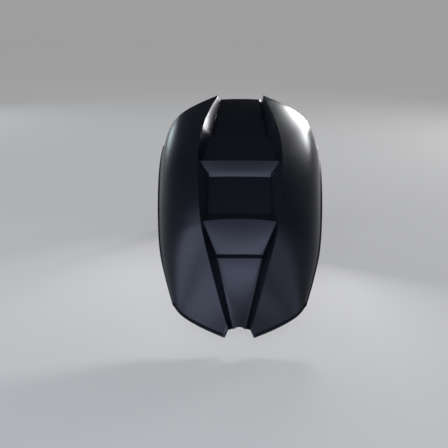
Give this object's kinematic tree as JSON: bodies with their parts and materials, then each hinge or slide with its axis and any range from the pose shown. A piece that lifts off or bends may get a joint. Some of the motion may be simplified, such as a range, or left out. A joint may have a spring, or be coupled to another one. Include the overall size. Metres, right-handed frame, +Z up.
{
  "type": "rear hugger mudguard",
  "caption": "Moulded rear hugger mudguard with crowned wings, a stepped centre channel, two fins and side arms that bolt to a swingarm.",
  "frame": {"origin": "middle of the four mounting holes, on the seat of the two feet", "axes": "+Z up off the swingarm, +Y to the front of the vehicle, X across; the guard is seen from behind along +Y"},
  "size_m": [0.227, 0.523, 0.2396],
  "materials": {
    "satin_black_plastic": "satin"
  },
  "bodies": {
    "root": {"mudguard": "satin_black_plastic"}
  },
  "joints": []
}
